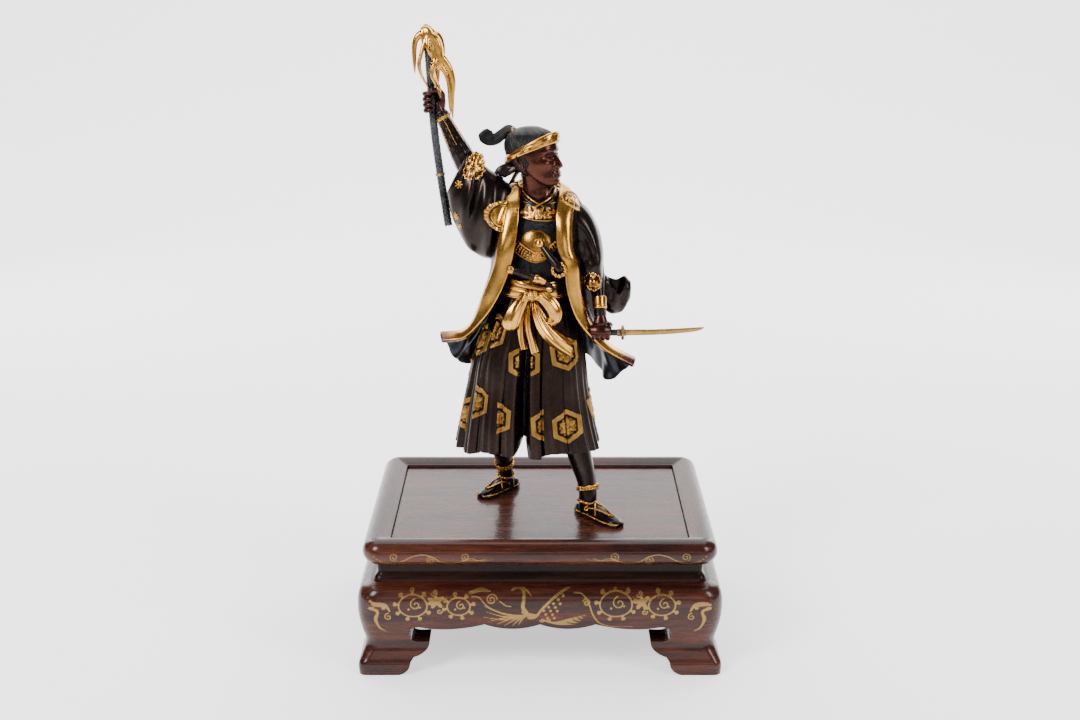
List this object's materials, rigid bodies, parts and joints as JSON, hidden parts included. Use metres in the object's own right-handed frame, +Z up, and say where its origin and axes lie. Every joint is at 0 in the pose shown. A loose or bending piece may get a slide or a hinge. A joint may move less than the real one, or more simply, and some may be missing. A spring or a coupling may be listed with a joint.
{
  "type": "bronze samurai figure",
  "caption": "Part-gilt bronze figure of a samurai raising a torch with a sword in the other hand, on a lacquered hardwood stand.",
  "frame": {"origin": "on the ground, under the middle of the stand", "axes": "+Z up; the figure and the front of the stand face -Y; +X is the figure's left, where the sword points"},
  "size_m": [0.238, 0.178, 0.4093],
  "materials": {
    "bronze": "dark brown patina, polished to a soft gloss",
    "skin_bronze": "red-brown patina, polished",
    "gilt": "mercury gilding, satin to bright",
    "iron_grey": "dark grey patina with bright wear",
    "blade": "worn brassy metal",
    "rosewood": "polished dark red hardwood with gold lacquer drawing",
    "dark_wood": "dark polished hardwood"
  },
  "bodies": {
    "root": {"stand_frame": "rosewood", "stand_panel": "rosewood", "stand_waist": "dark_wood", "stand_base": "rosewood", "figure": "bronze", "head": "skin_bronze", "sash": "gilt", "torch_shaft": "iron_grey", "torch_flame": "gilt", "sword": "blade", "short_sword": "iron_grey", "baton": "iron_grey"}
  },
  "joints": []
}
